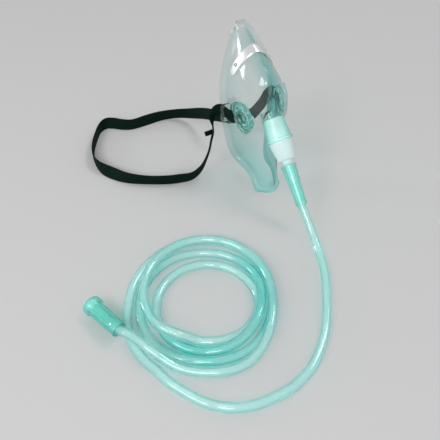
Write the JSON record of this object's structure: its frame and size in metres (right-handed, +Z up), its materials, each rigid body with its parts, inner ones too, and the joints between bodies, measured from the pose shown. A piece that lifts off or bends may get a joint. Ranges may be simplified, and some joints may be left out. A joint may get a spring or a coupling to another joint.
{
  "type": "oxygen face mask",
  "caption": "Clear face mask standing on its chin, with port and adapter, nose clip, cheek vents, flat head strap and a thin supply tube coiled on the table.",
  "frame": {"origin": "on the table, under the middle of the box round the mask, its adapter and its head strap; the tube, its coil and its soft ends lie outside that box and don't count", "axes": "+Z up, +X to the right of the picture, +Y away from the camera"},
  "size_m": [0.164, 0.2397, 0.1018],
  "materials": {
    "mask_shell": "glossy clear vinyl with a pale green tint",
    "nose_clip": "bright rolled strip",
    "port_adapter": "milky, half clear",
    "mask_end_cuff": "soft half-clear green vinyl",
    "oxygen_tube": "half-clear mint vinyl",
    "tube_coil": "half-clear mint vinyl",
    "supply_connector": "soft half-clear green vinyl",
    "head_strap": "satin dark green elastic"
  },
  "bodies": {
    "root": {"mask_shell": "mask_shell", "nose_clip": "nose_clip", "port_adapter": "port_adapter", "mask_end_cuff": "mask_end_cuff", "oxygen_tube": "oxygen_tube", "tube_coil": "tube_coil", "supply_connector": "supply_connector", "head_strap": "head_strap"}
  },
  "joints": []
}
